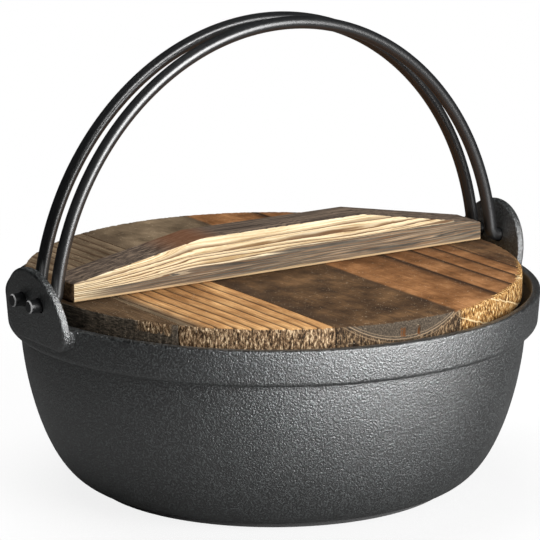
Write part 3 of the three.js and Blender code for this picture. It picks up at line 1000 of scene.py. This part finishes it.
# Batten with its lined sides, dark top and brown ends
def batten_wood():
    graph = Graph("batten_wood")
    place = graph.place()
    x, y, z = graph.parts(place)
    height = graph.math("SUBTRACT", z, BATTEN_BOTTOM)
    course = line_course(graph, place, x, height)
    below = graph.math("SUBTRACT", LINE_TOP, course)
    late = late_wood(graph, graph.math("DIVIDE", graph.times(below, below), LINE_CROWDING), LINE_STOPS)
    thread = graph.add("ShaderNodeCombineXYZ", {0: graph.times(x, THREAD_PACE), 1: y, 2: course}).outputs[0]
    fine = graph.grain(thread, *THREADS)
    side = batten_side(graph, place, x, height, course, late, fine)
    end = graph.step(graph.math("ABSOLUTE", graph.facing()[0]), *END_FACING)
    side = graph.mix(end, side, toned(graph, graph.noise(place, *END_GRAIN), LEFT))
    upward = graph.step(graph.facing()[2], *TOP_FACING)
    colour = graph.mix(upward, side, batten_top(graph, place, x))
    rough = graph.spread(fine, *BATTEN_ROUGHNESS)
    graph.set(Base_Color=colour, Roughness=rough, Specular_IOR_Level=WOOD_SPECULAR)
    graph.set(Normal=graph.bump(graph.plus(fine, late, -LINE_RELIEF), *BATTEN_RELIEF))
    return graph.material


# Material of an object, in place of any that it has
def paint(obj, material):
    obj.data.materials.clear()
    obj.data.materials.append(material)


# Piece of the scene that rides on a body in place of a node of the part
def dress(obj, body, node, material):
    paint(obj, material)
    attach(obj, body)
    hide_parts(node)


# Pot and bails
def dress_pot():
    dress(pot_casting(), "pot", "pot_body", iron())
    black = wire()
    dress(bail("front_bail", -HOLE_SPACING / 2), "bail_front", "bail_front", black)
    dress(bail("rear_bail", HOLE_SPACING / 2), "bail_rear", "bail_rear", black)


# Three boards, the batten, and the screws, which keep their own solids
def dress_lid():
    reach = 2 * LID_RADIUS
    boards = [
        ("left_board", -reach, LEFT_SEAM, "lid_board_left", left_wood()),
        ("middle_board", LEFT_SEAM, RIGHT_SEAM, "lid_board_middle", middle_wood()),
        ("right_board", RIGHT_SEAM, reach, "lid_board_right", right_wood()),
    ]
    for name, from_x, to_x, node, wood in boards:
        dress(lid_board(name, from_x, to_x), "lid", node, wood)
    dress(batten(), "lid", "lid_batten", batten_wood())
    plain = steel()
    for number in range(1, SCREW_COUNT + 1):
        paint(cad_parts[f"batten_screw_{number}"], plain)


def add_camera():
    data = bpy.data.cameras.new("camera")
    data.sensor_width = SENSOR_WIDTH
    data.lens = CAMERA_LENS
    camera = bpy.data.objects.new("camera", data)
    aim = RIGHT * CAMERA_SIDE + Vector((0, 0, CAMERA_AIM_HEIGHT))
    camera.location = aim + BACK * CAMERA_DISTANCE
    camera.rotation_euler = BACK.to_track_quat("Z", "Y").to_euler()
    bpy.context.scene.collection.objects.link(camera)
    bpy.context.scene.camera = camera


# Place in the studio as the camera sees it: to the right, towards the camera and up
def studio_place(right, towards, up):
    level = Vector((BACK.x, BACK.y, 0)).normalized()
    return RIGHT * right + level * towards + Vector((0, 0, up))


def add_softbox(name, place, size, power, reflected):
    data = bpy.data.lights.new(name, "AREA")
    data.shape = "RECTANGLE"
    data.size, data.size_y = size
    data.energy = power
    lamp = bpy.data.objects.new(name, data)
    lamp.location = studio_place(*place)
    lamp.rotation_euler = (lamp.location - LAMP_AIM).to_track_quat("Z", "Y").to_euler()
    lamp.visible_glossy = reflected
    bpy.context.scene.collection.objects.link(lamp)


# White background for the camera, and for reflections where no studio wall stands before it
def add_world():
    world = bpy.data.worlds.new("studio")
    bpy.context.scene.world = world
    world.use_nodes = True
    tree = world.node_tree
    background = tree.nodes["Background"]
    background.inputs["Color"].default_value = grey(1)
    path = tree.nodes.new("ShaderNodeLightPath")
    seen = path.outputs["Is Camera Ray"]
    for ray in ("Is Transmission Ray", "Is Glossy Ray"):
        either = tree.nodes.new("ShaderNodeMath")
        either.operation = "MAXIMUM"
        tree.links.new(seen, either.inputs[0])
        tree.links.new(path.outputs[ray], either.inputs[1])
        seen = either.outputs[0]
    strength = tree.nodes.new("ShaderNodeMapRange")
    strength.inputs["To Min"].default_value = WORLD_STRENGTH
    strength.inputs["To Max"].default_value = 1.0
    tree.links.new(seen, strength.inputs["Value"])
    tree.links.new(strength.outputs[0], background.inputs["Strength"])


# Pale floor that fades out and lets some of the white through, so that only a soft shadow stays
def add_floor():
    corners = [(-FLOOR_REACH, -FLOOR_REACH), (FLOOR_REACH, -FLOOR_REACH)]
    corners += [(FLOOR_REACH, FLOOR_REACH), (-FLOOR_REACH, FLOOR_REACH)]
    floor = mesh_object("floor", [(x, y, 0) for x, y in corners], [(0, 1, 2, 3)])
    graph = Graph("floor")
    distance = graph.add("ShaderNodeVectorMath", {0: graph.place()}, operation="LENGTH").outputs["Value"]
    fade = {"Value": distance, "From Min": FADE_START, "From Max": FLOOR_REACH}
    fade.update({"To Min": FLOOR_COVER, "To Max": 0.0})
    graph.set(Base_Color=grey(FLOOR_SHADE), Roughness=STUDIO_ROUGHNESS, Specular_IOR_Level=0.0)
    graph.set(Alpha=graph.add("ShaderNodeMapRange", fade).outputs[0])
    floor.data.materials.append(graph.material)


# Dark studio round the set, out of the camera's sight, for the dark side of the iron
def add_studio():
    ring = arc((0, 0), WALL_RADIUS, 0, 1, WALL_SEGMENTS)[:-1]
    points = [(x, y, z) for z in (-WALL_DEPTH, WALL_HEIGHT) for x, y in ring]
    faces = ring_faces(2, WALL_SEGMENTS)
    faces += [tuple(range(WALL_SEGMENTS)), tuple(range(WALL_SEGMENTS, 2 * WALL_SEGMENTS))]
    wall = mesh_object("studio_wall", points, faces)
    graph = Graph("studio_wall")
    graph.set(Base_Color=grey(WALL_SHADE), Roughness=STUDIO_ROUGHNESS, Specular_IOR_Level=0.0)
    wall.data.materials.append(graph.material)
    wall.visible_camera = False


dress_pot()
dress_lid()
add_camera()
add_world()
add_floor()
add_studio()
for softbox in SOFTBOXES:
    add_softbox(*softbox)
bpy.context.scene.view_settings.view_transform = "Standard"
